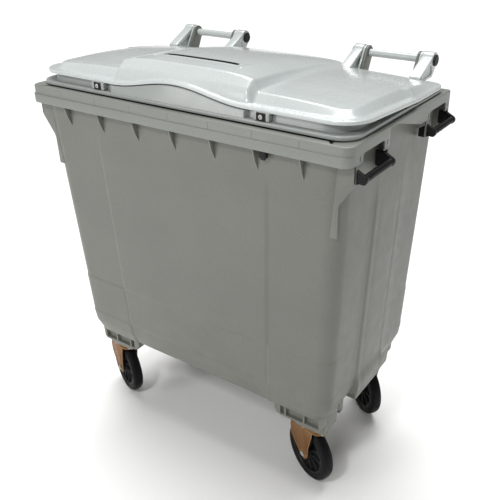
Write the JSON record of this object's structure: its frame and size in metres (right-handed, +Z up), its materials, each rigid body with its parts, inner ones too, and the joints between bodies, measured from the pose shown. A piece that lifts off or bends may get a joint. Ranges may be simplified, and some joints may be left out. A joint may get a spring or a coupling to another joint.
{
  "type": "wheelie bin",
  "caption": "Large wheeled refuse container with a tapered tub, a hinged main lid, a slotted paper lid set in it, end handles and swivel castors.",
  "frame": {"origin": "on the floor under the centre of the overall box", "axes": "+Z up, -Y out of the front with the locks and the posting slot's side, +X to the right seen from the front, hinge line parallel to X"},
  "size_m": [1.2298, 0.751, 1.4397],
  "materials": {
    "body_hdpe": "moulded light grey polyethylene with a fine satin texture",
    "lid_hdpe": "smooth light grey polyethylene, semi-gloss",
    "black_plastic": "black moulded plastic, satin",
    "tyre": "solid black rubber",
    "rubber": "black rubber",
    "chromated_steel": "pressed steel, yellow-brown chromated zinc",
    "steel": "zinc-plated steel"
  },
  "bodies": {
    "bin_body": {"tub": "body_hdpe", "side_handle_front_right": "black_plastic", "side_handle_rear_right": "black_plastic", "hinge_rod_left": "steel", "hinge_tube_left": "lid_hdpe", "hinge_cap_left_inner": "black_plastic", "hinge_cap_left_outer": "black_plastic", "hinge_rod_right": "steel", "hinge_tube_right": "lid_hdpe", "hinge_cap_right_inner": "black_plastic", "hinge_cap_right_outer": "black_plastic", "drain_plug": "black_plastic", "lock_catch": "black_plastic", "castor_plate_front_right": "chromated_steel", "kingpin_front_right": "steel", "castor_plate_front_left": "chromated_steel", "kingpin_front_left": "steel", "castor_plate_rear_right": "chromated_steel", "kingpin_rear_right": "steel", "castor_plate_rear_left": "chromated_steel", "kingpin_rear_left": "steel"},
    "main_lid": {"lower_lid": "lid_hdpe", "lid_buffer_front_left": "rubber", "lid_buffer_front_right": "rubber", "lid_buffer_rear_left": "rubber", "lid_buffer_rear_right": "rubber", "lock_housing_left": "black_plastic", "lock_housing_right": "black_plastic"},
    "paper_lid": {"upper_lid": "lid_hdpe"},
    "lock_cylinder_left_body": {"lock_cylinder_left": "steel"},
    "lock_cylinder_right_body": {"lock_cylinder_right": "steel"},
    "swivel_front_right": {"fork_front_right": "chromated_steel", "axle_bolt_front_right": "steel", "axle_nut_front_right": "steel"},
    "wheel_front_right": {"wheel_hub_front_right": "black_plastic", "tyre_front_right": "tyre"},
    "swivel_front_left": {"fork_front_left": "chromated_steel", "axle_bolt_front_left": "steel", "axle_nut_front_left": "steel"},
    "wheel_front_left": {"wheel_hub_front_left": "black_plastic", "tyre_front_left": "tyre"},
    "swivel_rear_right": {"fork_rear_right": "chromated_steel", "axle_bolt_rear_right": "steel", "axle_nut_rear_right": "steel", "brake_pin_rear_right": "steel"},
    "wheel_rear_right": {"wheel_hub_rear_right": "black_plastic", "tyre_rear_right": "tyre"},
    "brake_rear_right": {"brake_pedal_rear_right": "black_plastic"},
    "swivel_rear_left": {"fork_rear_left": "chromated_steel", "axle_bolt_rear_left": "steel", "axle_nut_rear_left": "steel", "brake_pin_rear_left": "steel"},
    "wheel_rear_left": {"wheel_hub_rear_left": "black_plastic", "tyre_rear_left": "tyre"},
    "brake_rear_left": {"brake_pedal_rear_left": "black_plastic"}
  },
  "joints": [
    {"name": "main_lid_hinge", "type": "hinge", "parent": "bin_body", "child": "main_lid", "pos_m": [-0.0149, 0.3495, 1.394], "axis": [-1, 0, 0], "range_deg": [0, 262]},
    {"name": "paper_lid_hinge", "type": "hinge", "parent": "main_lid", "child": "paper_lid", "pos_m": [-0.0149, 0.3495, 1.394], "axis": [-1, 0, 0], "range_deg": [0, 262]},
    {"name": "lock_turn_left", "type": "hinge", "parent": "main_lid", "child": "lock_cylinder_left_body", "pos_m": [-0.3249, -0.3405, 1.3434], "axis": [0, -1, 0], "range_deg": [0, 90]},
    {"name": "lock_turn_right", "type": "hinge", "parent": "main_lid", "child": "lock_cylinder_right_body", "pos_m": [0.2951, -0.3405, 1.3434], "axis": [0, -1, 0], "range_deg": [0, 90]},
    {"name": "swivel_front_right_turn", "type": "hinge", "parent": "bin_body", "child": "swivel_front_right", "pos_m": [0.4371, -0.2355, 0.25], "axis": [0, 0, 1], "continuous": true},
    {"name": "wheel_front_right_spin", "type": "hinge", "parent": "swivel_front_right", "child": "wheel_front_right", "pos_m": [0.40672, -0.22261, 0.112], "axis": [-0.3907, -0.9205, 0], "continuous": true},
    {"name": "swivel_front_left_turn", "type": "hinge", "parent": "bin_body", "child": "swivel_front_left", "pos_m": [-0.4669, -0.2355, 0.25], "axis": [0, 0, 1], "continuous": true},
    {"name": "wheel_front_left_spin", "type": "hinge", "parent": "swivel_front_left", "child": "wheel_front_left", "pos_m": [-0.49728, -0.22261, 0.112], "axis": [-0.3907, -0.9205, 0], "continuous": true},
    {"name": "swivel_rear_right_turn", "type": "hinge", "parent": "bin_body", "child": "swivel_rear_right", "pos_m": [0.4371, 0.1785, 0.25], "axis": [0, 0, 1], "continuous": true},
    {"name": "wheel_rear_right_spin", "type": "hinge", "parent": "swivel_rear_right", "child": "wheel_rear_right", "pos_m": [0.41075, 0.19836, 0.112], "axis": [-0.6018, -0.7986, 0], "continuous": true},
    {"name": "brake_rear_right_press", "type": "hinge", "parent": "swivel_rear_right", "child": "brake_rear_right", "pos_m": [0.39717, 0.20859, 0.23], "axis": [-0.6018, -0.7986, 0], "range_deg": [0, 10]},
    {"name": "swivel_rear_left_turn", "type": "hinge", "parent": "bin_body", "child": "swivel_rear_left", "pos_m": [-0.4669, 0.1785, 0.25], "axis": [0, 0, 1], "continuous": true},
    {"name": "wheel_rear_left_spin", "type": "hinge", "parent": "swivel_rear_left", "child": "wheel_rear_left", "pos_m": [-0.49548, 0.195, 0.112], "axis": [-0.5, -0.866, 0], "continuous": true},
    {"name": "brake_rear_left_press", "type": "hinge", "parent": "swivel_rear_left", "child": "brake_rear_left", "pos_m": [-0.5102, 0.2035, 0.23], "axis": [-0.5, -0.866, 0], "range_deg": [0, 10]}
  ]
}
